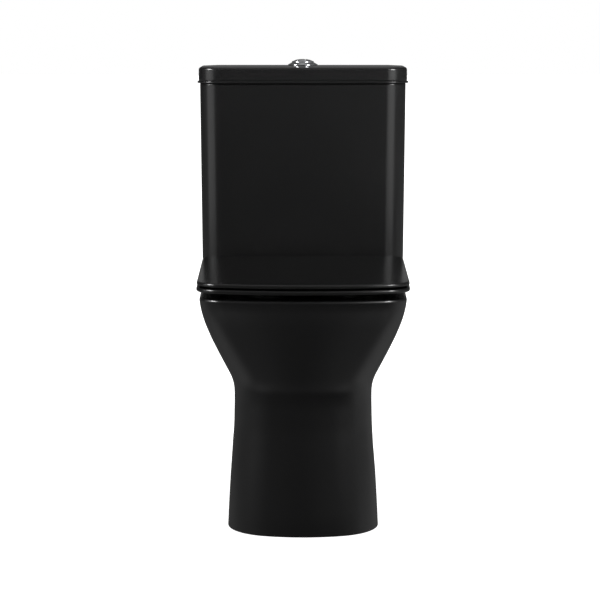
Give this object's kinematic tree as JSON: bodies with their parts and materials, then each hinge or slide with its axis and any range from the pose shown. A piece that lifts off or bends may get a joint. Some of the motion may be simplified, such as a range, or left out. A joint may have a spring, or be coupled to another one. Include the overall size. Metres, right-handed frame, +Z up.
{
  "type": "close coupled toilet",
  "caption": "Floor-standing close coupled toilet in black: square-plan bowl on a waisted pedestal, slim hinged seat and lid, slab cistern with a chrome dual flush button.",
  "frame": {"origin": "on the floor, below the middle of the whole toilet", "axes": "+Z up, -Y towards the front of the seat, +X to the right for someone looking at the front"},
  "size_m": [0.3912, 0.636, 0.7958],
  "materials": {
    "black_glaze": "satin black glaze",
    "black_seat_plastic": "satin black moulded resin",
    "chrome": "polished",
    "steel": "plated",
    "brass": "turned",
    "rubber": "matte",
    "grey_plastic": "moulded",
    "white_plastic": "moulded"
  },
  "bodies": {
    "toilet_base": {"pan_pedestal": "black_glaze", "pan_bowl": "black_glaze", "pan_trapway": "black_glaze", "cistern_body": "black_glaze", "hinge_post_left": "chrome", "hinge_post_right": "chrome", "hinge_pin_left": "steel", "hinge_pin_right": "steel", "hinge_bolt_left": "steel", "hinge_bolt_right": "steel", "hinge_wing_nut_left": "white_plastic", "hinge_wing_nut_right": "white_plastic", "flush_valve_tower": "white_plastic", "flush_gasket": "rubber", "flush_backnut": "white_plastic", "doughnut_washer": "rubber", "fill_valve_body": "white_plastic", "fill_washer": "rubber", "fill_backnut": "white_plastic", "blanking_plug": "white_plastic", "coupling_bolt_left": "brass", "coupling_bolt_right": "brass", "coupling_seal_left": "rubber", "coupling_seal_right": "rubber", "coupling_washer_left": "brass", "coupling_washer_right": "brass", "coupling_wing_nut_left": "brass", "coupling_wing_nut_right": "brass", "floor_bush_left": "white_plastic", "floor_bush_right": "white_plastic", "floor_screw_left": "steel", "floor_screw_right": "steel", "screw_cap_left": "chrome", "screw_cap_right": "chrome"},
    "ring": {"seat_ring": "black_seat_plastic", "ring_buffer_front_left": "rubber", "ring_buffer_front_right": "rubber", "ring_buffer_rear_left": "rubber", "ring_buffer_rear_right": "rubber", "ring_damper": "grey_plastic", "ring_bush": "grey_plastic"},
    "lid": {"seat_lid": "black_seat_plastic", "lid_buffer_front_left": "rubber", "lid_buffer_front_right": "rubber", "lid_buffer_rear_left": "rubber", "lid_buffer_rear_right": "rubber", "lid_bush": "grey_plastic", "lid_damper": "grey_plastic"},
    "cistern_cover": {"cistern_lid": "black_glaze", "button_bezel": "chrome", "button_nut": "white_plastic"},
    "full_button": {"button_full": "chrome", "push_rod_full": "white_plastic"},
    "half_button": {"button_half": "chrome", "push_rod_half": "white_plastic"},
    "overflow": {"overflow_tube": "white_plastic", "flush_seal": "rubber"},
    "float": {"fill_float": "grey_plastic", "float_rod": "white_plastic"},
    "arm": {"float_arm": "grey_plastic"}
  },
  "joints": [
    {"name": "seat_ring_hinge", "type": "hinge", "parent": "toilet_base", "child": "ring", "pos_m": [0, 0.101, 0.43], "axis": [-1, 0, 0], "range_deg": [0, 95]},
    {"name": "seat_lid_hinge", "type": "hinge", "parent": "ring", "child": "lid", "pos_m": [0, 0.101, 0.43], "axis": [1, 0, 0], "range_deg": [-95, 0]},
    {"name": "cistern_lid_lift", "type": "slide", "parent": "toilet_base", "child": "cistern_cover", "axis": [0, 0, 1], "range_m": [0, 0.14]},
    {"name": "full_flush_press", "type": "slide", "parent": "cistern_cover", "child": "full_button", "axis": [0, 0, -1], "range_m": [0, 0.006], "stiffness_N_per_m": 300, "springref_m": -0.004},
    {"name": "half_flush_press", "type": "slide", "parent": "cistern_cover", "child": "half_button", "axis": [0, 0, -1], "range_m": [0, 0.006], "stiffness_N_per_m": 300, "springref_m": -0.004},
    {"name": "overflow_lift", "type": "slide", "parent": "toilet_base", "child": "overflow", "axis": [0, 0, 1], "range_m": [0, 0.024]},
    {"name": "float_rise", "type": "slide", "parent": "toilet_base", "child": "float", "axis": [0, 0, 1], "range_m": [0, 0.02]},
    {"name": "float_arm_hinge", "type": "hinge", "parent": "toilet_base", "child": "arm", "pos_m": [-0.132, 0.234, 0.731], "axis": [0, -1, 0], "range_deg": [0, 28]}
  ],
  "couplings": [
    {"joint": "overflow_lift", "follows": "full_flush_press", "ratio": 4},
    {"joint": "float_arm_hinge", "follows": "float_rise", "rad_per_m": 24.04}
  ]
}
